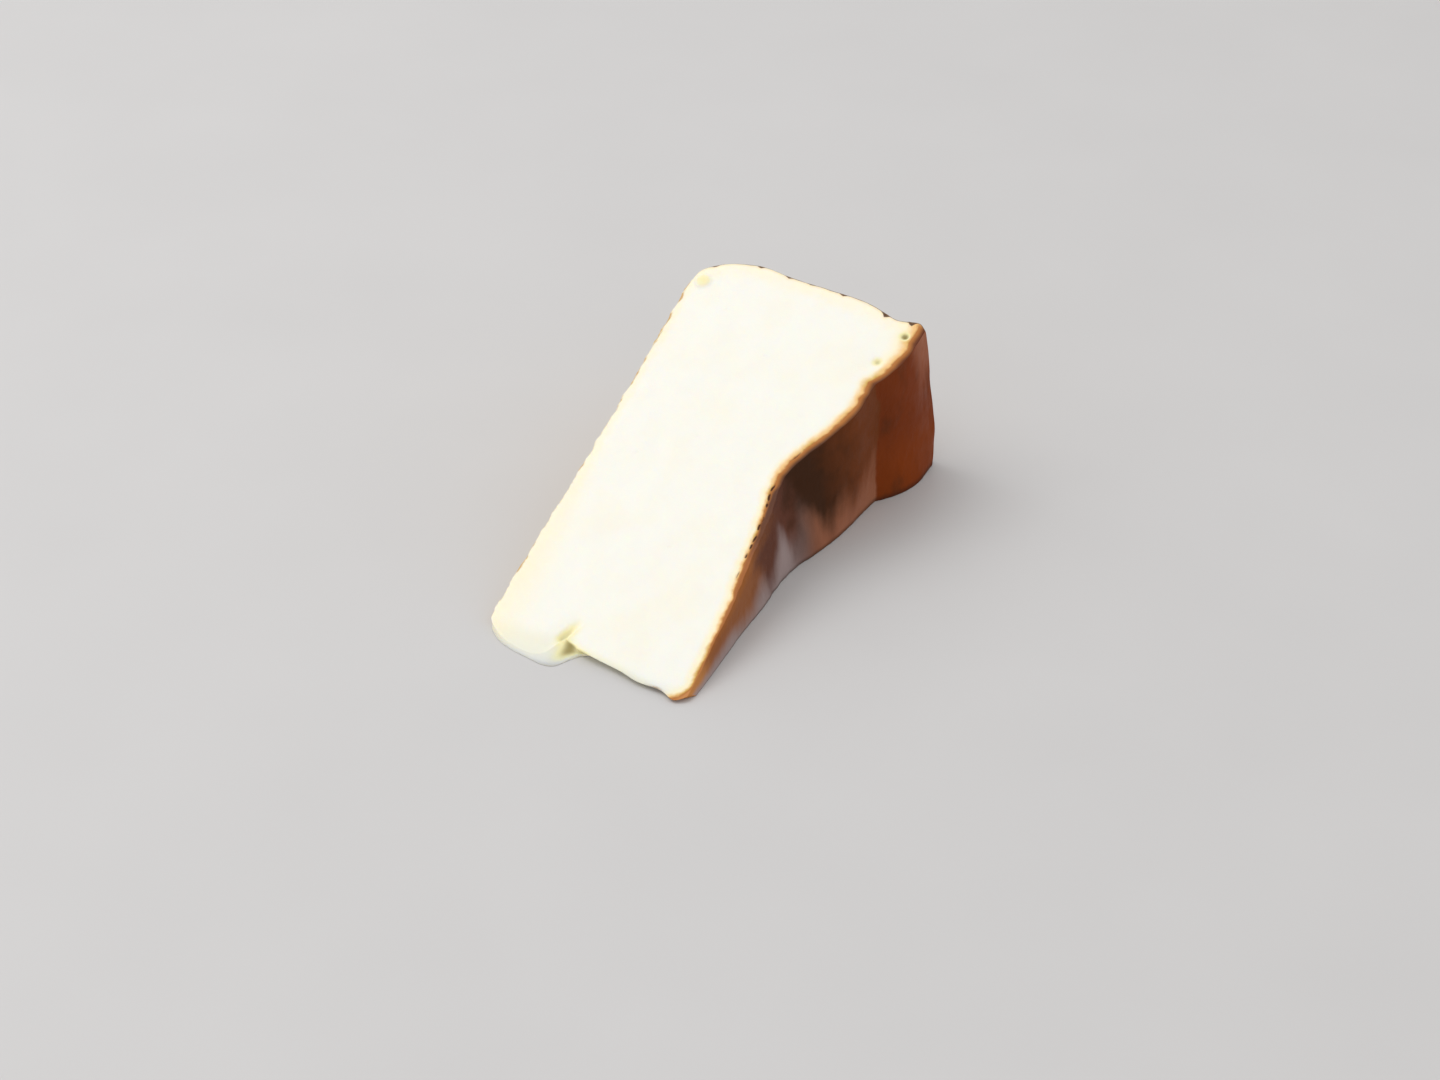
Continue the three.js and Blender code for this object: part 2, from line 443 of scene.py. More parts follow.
print("deepest pit in mm:", (PIT_DEPTH * torn_pits(np.arange(30.0, 80.0, 0.2), 0.2).max()).round(2))

# %% [markdown]
# Near the point the slice cracked. The crack could be a slot cut with a boolean, but soft cream tears
# with one steep side and one that sinks away, and it curls up along the steep side. So it is a groove
# in the relief, told by how far along the crack and how far beside it each vertex lies.

# %% Crack at the point
CRACK_FROM = (6.3, 20.8)
CRACK_TO = (13.2, 23.6)
GROOVE_DEPTH = 0.9
CRACK_LIP_HEIGHT = 0.18
SUNK_DEPTH = 0.4


def beside_crack(radius, height):
    """How far a place lies along the crack, from 0 to 1 and past it, and how far beside it in mm."""
    along = np.subtract(CRACK_TO, CRACK_FROM)
    length = np.hypot(*along)
    x, y = radius - CRACK_FROM[0], height - CRACK_FROM[1]
    return (x * along[0] + y * along[1]) / length**2, (x * along[1] - y * along[0]) / length


def crack_relief(radius, height):
    """A groove that is steep on the side of the top and soft on the other, where the cream has sunk."""
    share, beside = beside_crack(radius, height)
    tear = fade(share, -0.3, 0) * (1 - fade(share, 0, 1.1))
    beside = beside + 0.25 * rough(radius, height, 1.0, 1.3, 2)
    groove = fade(beside, -0.9, 0.5) * (1 - fade(beside, 0.3, 2.7))
    lip = clump(beside, -1.0, 0.8)
    sunk = fade(share, -1.4, -0.1) * (1 - fade(share, 0.1, 1.2))
    sunk = sunk * fade(beside, 0, 1) * (1 - fade(beside, 2, 6))
    return tear * (CRACK_LIP_HEIGHT * lip - GROOVE_DEPTH * groove) - SUNK_DEPTH * sunk


print("crack is", round(math.dist(CRACK_FROM, CRACK_TO), 1), "mm long")

# %% [markdown]
# The rest of the upper cut is not quite flat either. The knife dragged the soft cream into faint
# ripples and opened a few small bubbles, the skin stands a little proud of the cream, and a knob of
# cream was left on the far base corner.

# %% Relief of the upper cut
SKIN_STANDS_PROUD = 0.14
DIMPLE_HEIGHT = 0.15
DRAG_HEIGHT = 0.1
KNOB = (115.6, 4.1)
KNOB_SIZE = 2.1
KNOB_HEIGHT = 0.7

# Bubbles that the knife opened: distance from the axis, height, width and depth. Two are large.
OPEN_BUBBLES = [
    (115.2, 61.2, 0.9, 1.3), (105.8, 57.9, 0.95, 0.8), (98.5, 30.2, 0.35, 0.3), (61.0, 12.5, 0.3, 0.3),
    (84.0, 47.0, 0.32, 0.3), (38.5, 33.0, 0.36, 0.35), (70.2, 24.8, 0.28, 0.28), (22.5, 44.5, 0.3, 0.3),
    (109.0, 14.0, 0.34, 0.3),
]


def near_spot(radius, height, spot, width):
    """A soft hump round a spot of the cut, given by its distance from the axis and its height."""
    return clump(np.hypot(radius - spot[0], height - spot[1]), 0, width)


def near_knob(radius, height):
    """A dome of 0 to 1 over the knob of cream at the far base corner."""
    off = np.hypot(radius - KNOB[0], height - KNOB[1]) / KNOB_SIZE
    return np.sqrt(np.clip(1 - off * off, 0, 1))


def cut_relief(radius, height, below_skin):
    dimples = rough(radius, height, 6.0, (9, 6, 9), 3)
    dragged = clump(radius, 70, 26) * clump(height, 16, 18)
    drags = rough(radius, height, 2.0, (2.2, 4.5, 9), 2) * dragged
    relief = DIMPLE_HEIGHT * dimples - DRAG_HEIGHT * np.maximum(drags, 0)
    relief = relief + SKIN_STANDS_PROUD * (1 - fade(below_skin, -0.3, 0.2))
    relief = relief - PIT_DEPTH * torn_pits(radius, below_skin) + crack_relief(radius, height)
    relief = relief + KNOB_HEIGHT * near_knob(radius, height)
    for *spot, width, deep in OPEN_BUBBLES:
        relief = relief - deep * near_spot(radius, height, spot, width)
    return relief


print("upper cut has", len(OPEN_BUBBLES), "opened bubbles")

# %% [markdown]
# Now every vertex goes to its place. The relief lifts it square to the upper cut, and fades out over a
# few millimetres round the edge of the cut. The tip of the slice hangs over a little, because the cake
# is soft there and only its skin holds it. In the end the slice is centred in the frame's box and stands
# on the table, and what would stand out of the box is held back at its face.

# %% Places of the vertices
RELIEF_REACH = 1.4  # how far round the edge of the upper cut its relief is felt
TIP_DROP = 1.1
TIP_HEIGHT = 54.4
TIP_HEIGHT_REACH = 2.1
TIP_REACH = 5

radius, height = place_in_slice(out, up, turn)
depth = depth_below_top(radius, height, turn)
skin = skin_thickness(radius, turn)
from_upper_cut = (1 - turn) * WEDGE * np.maximum(radius, 3)
near_upper_cut = clump(from_upper_cut, 0, RELIEF_REACH)
lift = near_upper_cut * fade(radius, 1, 4.5) * cut_relief(radius, height, depth - skin)
point_radius, _ = place_in_slice(np.zeros_like(out), up, turn)
tip_drop = TIP_DROP * clump(height, TIP_HEIGHT, TIP_HEIGHT_REACH)
tip_drop = tip_drop * (1 - fade(radius - point_radius, 0, TIP_REACH))
places = to_metres(radius - tip_drop, height, turn, lift)

frame_centre = (cad_low + cad_high) / 2
middle = (places.max(0) + places.min(0)) / 2
shift = np.array([frame_centre.x - middle[0], frame_centre.y - middle[1], -places[:, 2].min()])
places = np.clip(places + shift, cad_low, cad_high)
for vertex, place in zip(block.verts, places):
    vertex.co = place
print("slice in mm:", ((places.max(0) - places.min(0)) / MM).round(1))

# %% [markdown]
# A knife leaves no perfect corner, so the edges of the block are smoothed a little, and the tip and the
# corner of the rim a little more. At the base of the point the soft cream slumped onto the table. There
# the edge is smoothed many times, until the cut rolls over into the thin foot without a line.

# %% Softened edges
TINY = 1e-6
EDGE_PASSES = 2
SLUMP_TOP = 20
SLUMP_REACH = 7
SLUMP_FROM_TURN = 0.05  # the lower cut stays flat
SLUMP_PASSES = 14
ROUND_TIP_REACH = 6.5
ROUND_TIP_DEPTH = 4
TIP_PASSES = 3
RIM_CORNER_FROM = 113
RIM_CORNER_DEPTH = 5
RIM_PASSES = 4


def smooth_places(chosen, passes):
    vertices = [block.verts[i] for i in np.flatnonzero(chosen)]
    for _ in range(passes):
        bmesh.ops.smooth_vert(block, verts=vertices, factor=0.5,
                              use_axis_x=True, use_axis_y=True, use_axis_z=True)


block.verts.ensure_lookup_table()
sides_met = ((shares < TINY) | (shares > 1 - TINY)).sum(1)
on_edge = sides_met > 1
smooth_places(on_edge, EDGE_PASSES)
slump = (radius < SLUMP_REACH) & (height < SLUMP_TOP) & (turn > SLUMP_FROM_TURN)
smooth_places(slump, SLUMP_PASSES)
smooth_places((radius < ROUND_TIP_REACH) & (depth < ROUND_TIP_DEPTH), TIP_PASSES)
smooth_places((radius > RIM_CORNER_FROM) & (depth < RIM_CORNER_DEPTH), RIM_PASSES)
print("softened", on_edge.sum(), "vertices on the edges and", slump.sum(), "on the foot")

# %% [markdown]
# The block becomes an object. Each face is given the material of the side that it lies on: cream on the
# two cuts and at the point, crust on the top, the outer side and the base.

# %% Slice object
CREAM_SLOT, CRUST_SLOT = 0, 1
block.normal_update()
for face in block.faces:
    face.smooth = True
    middle_share = sum((Vector(shares[v.index]) for v in face.verts), Vector()) / len(face.verts)
    on_base_or_top = middle_share.x < TINY or middle_share.x > 1 - TINY
    on_side = middle_share.y > 1 - TINY
    face.material_index = CRUST_SLOT if on_base_or_top or on_side else CREAM_SLOT
slice_mesh = bpy.data.meshes.new("cheesecake")
block.to_mesh(slice_mesh)
block.free()
cheesecake = bpy.data.objects.new("cheesecake", slice_mesh)
bpy.context.scene.collection.objects.link(cheesecake)
print("slice mesh has", len(slice_mesh.polygons), "faces")

# %% [markdown]
# What changes across the slice could be painted on an image, but the forms are already told by numbers
# at the vertices, so these become attributes of the mesh. The first ones say where a vertex lies in the
# cake, and how deep below the burnt top, its skin, the side and the base. The burnt skin wraps round
# the tip, and a shred of it hangs on the point further down.

# %% Depths below the crust


def store(name, values):
    attribute = slice_mesh.attributes.new(name, "FLOAT", "POINT")
    attribute.data.foreach_set("value", np.ascontiguousarray(values, dtype=np.float32))


side_radius, _ = place_in_slice(np.ones_like(out), up, turn)
_, base_height = place_in_slice(out, np.zeros_like(up), turn)
round_the_tip = 0.6 * (radius - point_radius) + 0.5 * (53.5 - height) - 0.4
on_point = 1 - fade(radius - point_radius, 0, 0.9)

store("radius", radius)
store("height", height)
store("turn", turn)
store("below_top", depth)
store("below_skin", np.minimum(depth - skin, round_the_tip))
store("below_side", side_radius - radius)
store("below_side_skin", side_radius - radius - side_skin_thickness(height, turn))
store("below_base", height - base_height)
store("below_base_skin", height - base_height - base_skin_thickness(radius, turn))
store("shred", on_point * clump(height, 48.4, 1.7) * fade(turn, 0.4, 0.8))
store("torn", torn_pits(radius, depth - skin))
store("side_spot", side_spots(height) * fade(turn, 0.9, 1))
store("paper_crease", crease_depth(height, turn))
store("folds", broad_folds(radius, turn))
print("attributes on the mesh:", len(slice_mesh.attributes))

# %% [markdown]
# Where the cream is torn or squeezed it is denser and yellow: in the knob, and on the lip of the crack,
# where the yellow is also a painted highlight. The olive in the crack and at its mouth, on the point under
# it and in the two large bubbles is painted shade in the hollows, and so is the faint yellow along the
# edge of the point. The foot is painted a little darker and yellower, as shade where it slopes to the
# table.

# %% Denser cream and painted shade
CRACK_MOUTH = (5.5, 21.5)
LARGE_BUBBLES = OPEN_BUBBLES[:2]

crack_share, crack_beside = beside_crack(radius, height)
tear = fade(crack_share, -0.4, 0) * (1 - fade(crack_share, 0.1, 1.15))
# Painted shade on the groove's wall, and denser cream with a painted highlight on its lip.
in_crack = tear * np.maximum(0.64 * clump(crack_beside, 0.6, 1.5), 0.4 * clump(crack_beside, -0.9, 0.9))
crack_mouth = 0.55 * near_spot(radius, height, CRACK_MOUTH, 2.4) * fade(turn, 0.4, 0.9)
# Painted shade on the point under the crack and under the overhanging edge beside it.
shade_under_crack = np.maximum(clump(height, 23.4, 2.4), 0.7 * clump(height, 27, 3.2))
shade_under_crack = on_point * fade(turn, 0, 0.6) * shade_under_crack
by_point = 1 - fade(radius - point_radius, 0, 2.8)
# Painted shade along the rounded edge of the point.
point_edge_shade = 0.26 * by_point * fade(height, 22, 25) * (1 - fade(height, 45, 50))
# The olive in the two large bubbles is painted shade in their hollows.
bubbles = sum(deep * near_spot(radius, height, spot, 1.3 * width) for *spot, width, deep in LARGE_BUBBLES)
knob_and_bubbles = 0.45 * near_knob(radius, height) + 0.9 * bubbles

# One mask for denser cream together with painted shade and highlight.
dense_and_painted_light = np.max([in_crack, crack_mouth, shade_under_crack, point_edge_shade, knob_and_bubbles], axis=0)
store("dense_and_painted_light", dense_and_painted_light)
# Mask of the foot, which gets painted shade.
store("foot", (1 - fade(radius, 3, 8)) * (1 - fade(height, 21, 28)))
print("densest cream at the crack:", np.maximum(in_crack, crack_mouth).max().round(2))

# %% [markdown]
# Materials are built from nodes. These helpers make one node each, join what they are given, and return
# the output, so a material reads like a sum. Colours are written as they look on a screen.

# %% Node helpers


class Nodes:
    """Adds nodes to one material and joins them."""

    def __init__(self, name):
        self.material = bpy.data.materials.new(name)
        self.material.use_nodes = True
        self.tree = self.material.node_tree
        self.shader = self.tree.nodes["Principled BSDF"]
        self.place = self.tree.nodes.new("ShaderNodeTexCoord").outputs["Object"]

    def join(self, value, socket):
        if isinstance(value, bpy.types.NodeSocket):
            self.tree.links.new(value, socket)
        elif value is not None:
            socket.default_value = value

    def attribute(self, name):
        node = self.tree.nodes.new("ShaderNodeAttribute")
        node.attribute_name = name
        return node.outputs["Fac"]

    def math(self, operation, first, second=None):
        node = self.tree.nodes.new("ShaderNodeMath")
        node.operation = operation
        self.join(first, node.inputs[0])
        self.join(second, node.inputs[1])
        return node.outputs[0]

    def noise(self, size, detail=3, roughness=0.55, stretch=(1, 1, 1)):
        """Noise of 0 to 1 whose lumps are about size millimetres long, times stretch."""
        mapping = self.tree.nodes.new("ShaderNodeMapping")
        mapping.inputs["Scale"].default_value = [1 / (size * MM * s) for s in stretch]
        self.join(self.place, mapping.inputs["Vector"])
        node = self.tree.nodes.new("ShaderNodeTexNoise")
        node.inputs["Scale"].default_value = 1
        node.inputs["Detail"].default_value = detail
        node.inputs["Roughness"].default_value = roughness
        self.join(mapping.outputs[0], node.inputs["Vector"])
        return node.outputs["Fac"]

    def step(self, value, start, end, low=0.0, high=1.0):
        """Smooth step of value from start to end, given as low to high."""
        node = self.tree.nodes.new("ShaderNodeMapRange")
        node.interpolation_type = "SMOOTHSTEP"
        for socket, number in zip(node.inputs, (value, start, end, low, high)):
            self.join(number, socket)
        return node.outputs[0]

    def mix(self, share, first, second):
        node = self.tree.nodes.new("ShaderNodeMix")
        node.data_type = "RGBA"
        self.join(share, node.inputs[0])
        self.join(first, node.inputs[6])
        self.join(second, node.inputs[7])
        return node.outputs[2]

    def bump(self, height, distance, normal=None):
        node = self.tree.nodes.new("ShaderNodeBump")
        node.inputs["Strength"].default_value = 1
        node.inputs["Distance"].default_value = distance * MM
        self.join(height, node.inputs["Height"])
        if normal is not None:
            self.join(normal, node.inputs["Normal"])
        return node.outputs[0]


def screen(red, green, blue):
    """A colour as a screen shows it, in steps of 0 to 255, as the light values that Blender mixes."""
    values = np.array([red, green, blue]) / 255
    linear = np.where(values <= 0.04045, values / 12.92, ((values + 0.055) / 1.055) ** 2.4)
    return (*linear, 1.0)


print("middle grey as light:", [round(float(value), 3) for value in screen(128, 128, 128)[:3]])

# %% [markdown]
# The burnt top is not one brown. Near the point it is roasted golden brown, the valley is almost black,
# the shoulder is lighter again, and past a crease the rim is red-brown. The cuts show the same browns in
# section, so both materials use this tone. In the materials, radius runs in mm from the point at about 3,
# over the valley at 60 and the shoulder at 90, to the rim at 118, and turn from the table to the upper
# cut as 0 to 1.

# %% Browns of the burnt top
TIP_GOLD = screen(192, 130, 74)
GOLDEN_ROAST = screen(148, 92, 56)
ROAST = screen(100, 60, 46)
BURNT = screen(64, 38, 22)
SHOULDER_BROWN = screen(112, 57, 24)
RIM_BROWN = screen(122, 54, 20)
CUT_EDGE_GOLD = screen(160, 97, 48)
CREASE_AT_LOWER_CUT = 96.4
CREASE_AT_UPPER_CUT = 99.2


def past_crease(made):
    """How far a place lies outside the crease that the rim rises from, in mm."""
    crease = made.step(made.attribute("turn"), 0, 1, CREASE_AT_LOWER_CUT, CREASE_AT_UPPER_CUT)
    wavy = made.step(made.noise(9), 0.3, 0.7, -0.5, 0.5)
    return made.math("SUBTRACT", made.math("ADD", made.attribute("radius"), wavy), crease)


def burnt_tone(made):
    radius = made.math("ADD", made.attribute("radius"), made.step(made.noise(7), 0.3, 0.7, -2.5, 2.5))
    colour = made.mix(made.step(made.attribute("radius"), 7, 16), TIP_GOLD, GOLDEN_ROAST)
    colour = made.mix(made.step(radius, 36, 50), colour, ROAST)
    colour = made.mix(made.step(radius, 58, 70), colour, BURNT)
    colour = made.mix(made.step(radius, 73, 91), colour, SHOULDER_BROWN)
    colour = made.mix(made.step(past_crease(made), -0.6, 0.5), colour, RIM_BROWN)
    beside_cut = made.step(made.attribute("turn"), 0.74, 0.96)
    near_point = made.math("MULTIPLY", made.step(radius, 8, 16), made.step(radius, 60, 34))
    return made.mix(made.math("MULTIPLY", beside_cut, near_point), colour, CUT_EDGE_GOLD)


print("rim is red-brown past", CREASE_AT_LOWER_CUT, "to", CREASE_AT_UPPER_CUT, "mm from the axis")

# %% [markdown]
# The cream is baked soft cheese, nearly white in the middle of the cut. Towards the side and the base,
# where more heat reached it, it turns a very pale gold, and noise keeps the border of that uneven.

# %% Colour of the cream
CREAM = screen(244, 243, 234)
CREAM_WARM = screen(245, 240, 223)
# Painted shade for the foot, which slopes down to the table.
CREAM_FOOT_SHADE = screen(239, 236, 219)
HALO_PALE = screen(252, 238, 200)


def plain_cream(made, uneven):
    radius = made.attribute("radius")
    colour = made.mix(made.step(made.noise(14), 0.42, 0.75, 0, 0.5), CREAM, CREAM_WARM)
    colour = made.mix(made.attribute("foot"), colour, CREAM_FOOT_SHADE)
    side_depth = made.math("ADD", made.attribute("below_side"), made.math("MULTIPLY", uneven, 5))
    colour = made.mix(made.step(side_depth, 6.5, 0.5, 0, 0.45), colour, HALO_PALE)
    base_depth = made.math("ADD", made.attribute("below_base"), made.math("MULTIPLY", uneven, 3))
    base_reach = made.step(radius, 70, 15, 3, 12)
    return made.mix(made.step(base_depth, base_reach, 0.2, 0, 0.5), colour, HALO_PALE)


# %% [markdown]
# Where the knife went through the burnt skin the cut shows, from the outside in, the brown skin, amber,
# a golden halo, and then the cream. The depth below the skin drives these bands, and noise makes their
# edges uneven. The side and the base have only thin spots of skin.

# %% Skin in section
HALO_GOLD = screen(236, 192, 126)
HALO_OLIVE = screen(216, 178, 96)
AMBER = screen(174, 110, 50)
SIDE_SPOT = screen(104, 78, 54)
BASE_SPOT = screen(196, 158, 108)
SKIN_DARK_LINE = screen(84, 46, 22)


def skin_in_section(made, uneven, colour):
    radius = made.attribute("radius")
    below_side_skin = made.attribute("below_side_skin")
    band_depth = made.math("ADD", made.attribute("below_skin"), made.step(radius, 52, 34, 0, 0.5))
    halo_depth = made.math("ADD", band_depth, made.math("MULTIPLY", uneven, 1.8))
    pale_reach = made.step(radius, 100, 116, 3.4, 7.5)
    colour = made.mix(made.step(halo_depth, pale_reach, 0.9, 0, 0.9), colour, HALO_PALE)
    gold = made.mix(made.step(made.noise(9), 0.45, 0.6), HALO_GOLD, HALO_OLIVE)
    gold_reach = made.math("ADD", made.step(radius, 58, 74, 1.5, 2.5), made.step(radius, 104, 116))
    colour = made.mix(made.step(halo_depth, gold_reach, 0.4), colour, gold)
    colour = made.mix(made.step(halo_depth, 0.75, 0), colour, AMBER)
    colour = made.mix(made.step(below_side_skin, 1.0, 0.1, 0, 0.3), colour, HALO_GOLD)
    skin = made.mix(made.step(radius, 40, 50, 0, 0.6), burnt_tone(made), SKIN_DARK_LINE)
    skin_from = made.step(radius, 56, 66, 0.35, -0.1)
    skin_to = made.step(radius, 56, 66, -0.5, -1.6)
    colour = made.mix(made.step(band_depth, skin_from, skin_to), colour, skin)
    colour = made.mix(made.step(made.attribute("torn"), 0.15, 0.6), colour, SKIN_DARK_LINE)
    colour = made.mix(made.step(below_side_skin, 0.15, -0.1), colour, SIDE_SPOT)
    return made.mix(made.step(made.attribute("below_base_skin"), 0.3, -0.2), colour, BASE_SPOT)


# %% [markdown]
# Light travels a few millimetres into the cream, which is what subsurface scattering does. Where the
# cream is denser, as in the knob, it is yellower. The same yellow to olive paints the shade in the crack,
# in the large bubbles and along the point, and the highlight on the crack's lip. The grain of the cut is
# finer than the mesh, so it is left to a bump.

# %% Cream material
YELLOW_DENSE_AND_PAINTED_LIGHT = screen(244, 236, 186)
PAINTED_SHADE_OLIVE = screen(160, 146, 92)
SHRED_BROWN = screen(150, 112, 74)


def cream_material():
    made = Nodes("baked_cream")
    dense_and_painted_light = made.attribute("dense_and_painted_light")
    uneven = made.math("SUBTRACT", made.noise(3.6), 0.5)
    colour = skin_in_section(made, uneven, plain_cream(made, uneven))
    # Yellow for denser cream, the painted highlight and the faint shade along the point; olive for painted
    # shade.
    colour = made.mix(made.step(dense_and_painted_light, 0, 0.5), colour, YELLOW_DENSE_AND_PAINTED_LIGHT)
    colour = made.mix(made.step(dense_and_painted_light, 0.35, 1.1), colour, PAINTED_SHADE_OLIVE)
    colour = made.mix(made.attribute("shred"), colour, SHRED_BROWN)

    made.join(colour, made.shader.inputs["Base Color"])
    light_enters = made.step(made.attribute("below_skin"), -0.1, 1.2, 0.0, 0.5)
    made.join(light_enters, made.shader.inputs["Subsurface Weight"])
    made.shader.inputs["Subsurface Radius"].default_value = (1.0, 0.78, 0.45)
    made.shader.inputs["Subsurface Scale"].default_value = 0.0022
    made.shader.inputs["Specular IOR Level"].default_value = 0.2
    made.join(made.step(made.noise(3, detail=4), 0.3, 0.7, 0.45, 0.6), made.shader.inputs["Roughness"])
    crumb = made.noise(0.6, detail=4, roughness=0.6)
    made.join(made.bump(crumb, 0.06), made.shader.inputs["Normal"])
    return made.material


slice_mesh.materials.append(cream_material())
print("cream material has", len(slice_mesh.materials[CREAM_SLOT].node_tree.nodes), "nodes")

# %% [markdown]
# The crust is the same cream, dried and caramelised. Down the top, towards the table, the valley has a
# greyish mauve sheen, a painted reflection of the bright table, with a thin coat over it for gloss. The
# shoulder is tan, and the rim is red-brown with scorched places. The borders of these tones sway with the
# folds.

# %% Colour of the burnt top
# Painted reflection: mauve grey for the sheen of the bright table on the lower valley.
PAINTED_SHEEN_MAUVE = screen(160, 141, 139)
SHOULDER_TAN = screen(158, 102, 76)
EMBER = screen(130, 58, 18)
RIM_EDGE = screen(168, 106, 80)
PAINTED_SHADE_BY_TABLE = screen(58, 34, 24)


def way_down(made, mottle):
    """How far down the top a place lies: 0 at the upper cut, 1 at the table, with a sway."""
    streaks = made.noise(4, detail=2, stretch=(1, 1, 8))
    sway = made.math("MULTIPLY", made.math("SUBTRACT", mottle, 0.5), 0.4)
    sway = made.math("ADD", sway, made.math("MULTIPLY", made.math("SUBTRACT", streaks, 0.5), 0.3))
    sway = made.math("ADD", sway, made.math("MULTIPLY", made.attribute("folds"), 0.2))
    return made.math("SUBTRACT", made.math("ADD", sway, 1), made.attribute("turn"))


# Where the mauve sheen is painted. The coat of the crust follows the same share.
def painted_sheen_and_coat_share(made, down):
    radius = made.attribute("radius")
    less_sheen = made.math("MULTIPLY", made.step(radius, 22, 34), made.step(radius, 57, 47, 0, 0.2))
    painted_sheen_down = made.step(made.math("SUBTRACT", down, less_sheen), 0.32, 0.95, 0, 0.95)
    return made.math("MULTIPLY", painted_sheen_down, made.step(radius, 72, 56))


def top_colour(made, mottle, down, painted_sheen_and_coat):
    radius = made.attribute("radius")
    past = past_crease(made)
    rim = made.step(past, -0.6, 0.5)
    # Painted reflection of the table as a mauve sheen.
    colour = made.mix(painted_sheen_and_coat, burnt_tone(made), PAINTED_SHEEN_MAUVE)
    tan = made.math("MULTIPLY", made.step(down, 0.48, 0.95), made.step(radius, 60, 74))
    colour = made.mix(made.math("MULTIPLY", tan, made.math("SUBTRACT", 1, rim)), colour, SHOULDER_TAN)
    colour = made.mix(rim, colour, made.mix(made.step(down, 0.45, 0.75), RIM_BROWN, EMBER))
    # Painted shade in the concave crease where the rim starts to rise.
    crease_shade = made.math("MULTIPLY", rim, made.step(past, 7, 2.5, 0, 0.12))
    colour = made.mix(crease_shade, colour, BURNT)
    scorched = made.math("MULTIPLY", rim, made.step(mottle, 0.5, 0.75, 0, 0.5))
    colour = made.mix(scorched, colour, BURNT)
    rim_edge = made.math("MULTIPLY", made.step(radius, 109, 116), made.step(down, 0.5, 0.05, 0, 0.85))
    colour = made.mix(rim_edge, colour, RIM_EDGE)
    # Painted shade where the top meets the table.
    return made.mix(made.step(made.attribute("turn"), 0.05, 0, 0, 0.7), colour, PAINTED_SHADE_BY_TABLE)


# %% [markdown]
# The side under its paper is only golden, browner towards the top, with darker runs where the paper lay
# in creases, and pale again at the very edge of the cut. The base is as pale as the lowest part of the
# side.

# %% Colour of side and base
SIDE_GOLD = screen(226, 180, 118)
SIDE_PALE = screen(242, 218, 170)
SIDE_BROWN = screen(160, 100, 56)


def side_colour(made, mottle):
    runs = made.noise(6, detail=4, stretch=(3.5, 1, 1))
    gold = made.mix(made.step(runs, 0.3, 0.7), SIDE_PALE, SIDE_GOLD)
    browner_up = made.step(made.attribute("height"), 20, 60, 0, 0.75)
    browning = made.math("ADD", browner_up, made.step(mottle, 0.42, 0.8, 0, 0.3))
    crease_share = made.step(runs, 0.3, 0.65, 0.05, 0.35)
    in_crease = made.math("MULTIPLY", made.attribute("paper_crease"), crease_share)
    colour = made.mix(made.math("ADD", browning, in_crease), gold, SIDE_BROWN)
    colour = made.mix(made.step(made.attribute("turn"), 0.9, 0.99, 0, 0.6), colour, SIDE_PALE)
    return made.mix(made.step(made.attribute("side_spot"), 0.1, 0.9, 0, 0.55), colour, SIDE_SPOT)


# %% [markdown]
# The burnt top ends a few millimetres down the side, with an uneven border. Where the sheen is painted
# on the lower valley, a thin coat stands for the butter and catches the light. Leathery grain, finer than
# the mesh, is a bump.

# %% Crust material


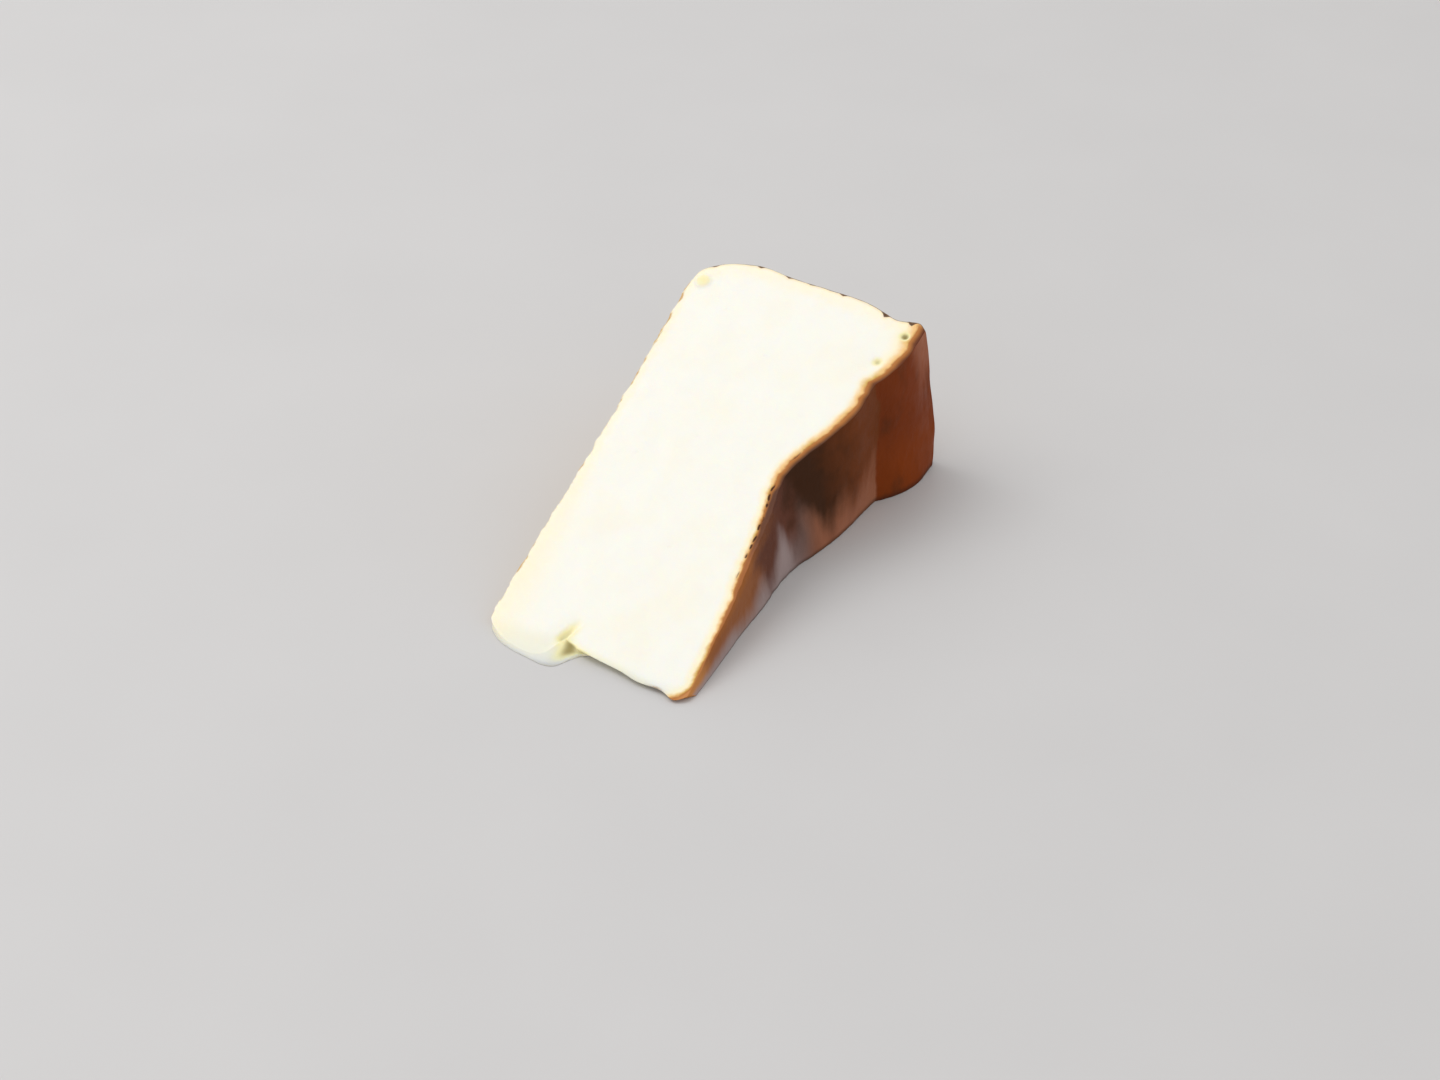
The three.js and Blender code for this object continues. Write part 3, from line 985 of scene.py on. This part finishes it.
def crust_material():
    made = Nodes("burnt_crust")
    below_top = made.attribute("below_top")
    mottle = made.noise(9, detail=4, stretch=(1, 1, 1.6))
    down = way_down(made, mottle)
    painted_sheen_and_coat = painted_sheen_and_coat_share(made, down)
    down_side = made.math("ADD", below_top, made.step(mottle, 0.3, 0.7, -1.5, 1.5))
    top = top_colour(made, mottle, down, painted_sheen_and_coat)
    colour = made.mix(made.step(down_side, 0.8, 8), top, side_colour(made, mottle))

    made.join(colour, made.shader.inputs["Base Color"])
    made.shader.inputs["Specular IOR Level"].default_value = 0.05
    made.join(made.step(made.noise(5, detail=3), 0.3, 0.7, 0.45, 0.6), made.shader.inputs["Roughness"])
    coat = made.math("MULTIPLY", made.math("MULTIPLY", painted_sheen_and_coat, 0.5), made.step(below_top, 2.5, 0.8))
    made.join(coat, made.shader.inputs["Coat Weight"])
    made.shader.inputs["Coat Roughness"].default_value = 0.35
    grain = made.noise(0.8, detail=4, roughness=0.6)
    leather = made.noise(2.4, detail=3, stretch=(1, 1, 2.5))
    normal = made.bump(leather, 0.3)
    made.join(made.bump(grain, 0.05, normal=normal), made.shader.inputs["Normal"])
    return made.material


slice_mesh.materials.append(crust_material())
print("crust material has", len(slice_mesh.materials[CRUST_SLOT].node_tree.nodes), "nodes")

# %% [markdown]
# The slice is one still body, and it takes the place of the plain solid.

# %% Slice in the frame
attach(cheesecake, "root")
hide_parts("cheesecake_slice")
print("slice has", len(slice_mesh.materials), "materials")

# %% [markdown]
# The setting is a bright white table in soft light from all round, with hardly a shadow. A large window
# high on the left gives the forms a little more light on one side, as in the photograph.

# %% Table and light
TABLE_HALF_WIDTH = 3
TABLE_LIGHT = screen(203, 202, 202)
TABLE_DARK = screen(198, 197, 197)
SLICE_MIDDLE = Vector((0, 0, 0.02))


def white_table():
    table = bmesh.new()
    bmesh.ops.create_grid(table, x_segments=2, y_segments=2, size=TABLE_HALF_WIDTH)
    mesh = bpy.data.meshes.new("table")
    table.to_mesh(mesh)
    table.free()
    thing = bpy.data.objects.new("table", mesh)
    bpy.context.scene.collection.objects.link(thing)
    made = Nodes("white_table")
    cloud = made.noise(60, detail=2)
    made.join(made.mix(cloud, TABLE_DARK, TABLE_LIGHT), made.shader.inputs["Base Color"])
    made.shader.inputs["Roughness"].default_value = 0.6
    mesh.materials.append(made.material)


def window_light(name, azimuth, elevation, distance, size, power):
    light = bpy.data.objects.new(name, bpy.data.lights.new(name, "AREA"))
    light.data.shape = "SQUARE"
    light.data.size = size
    light.data.energy = power
    bpy.context.scene.collection.objects.link(light)
    towards = direction(math.radians(azimuth), math.radians(elevation))
    aim(light, distance * towards, SLICE_MIDDLE)


white_table()
window_light("window", azimuth=285, elevation=58, distance=1.3, size=0.9, power=6)
world = bpy.data.worlds.new("bright_room")
world.use_nodes = True
world.node_tree.nodes["Background"].inputs["Color"].default_value = (1.0, 0.99, 0.98, 1)
world.node_tree.nodes["Background"].inputs["Strength"].default_value = 0.82
bpy.context.scene.world = world
bpy.context.scene.view_settings.view_transform = "Standard"
print("lights in the scene:", len(bpy.data.lights))
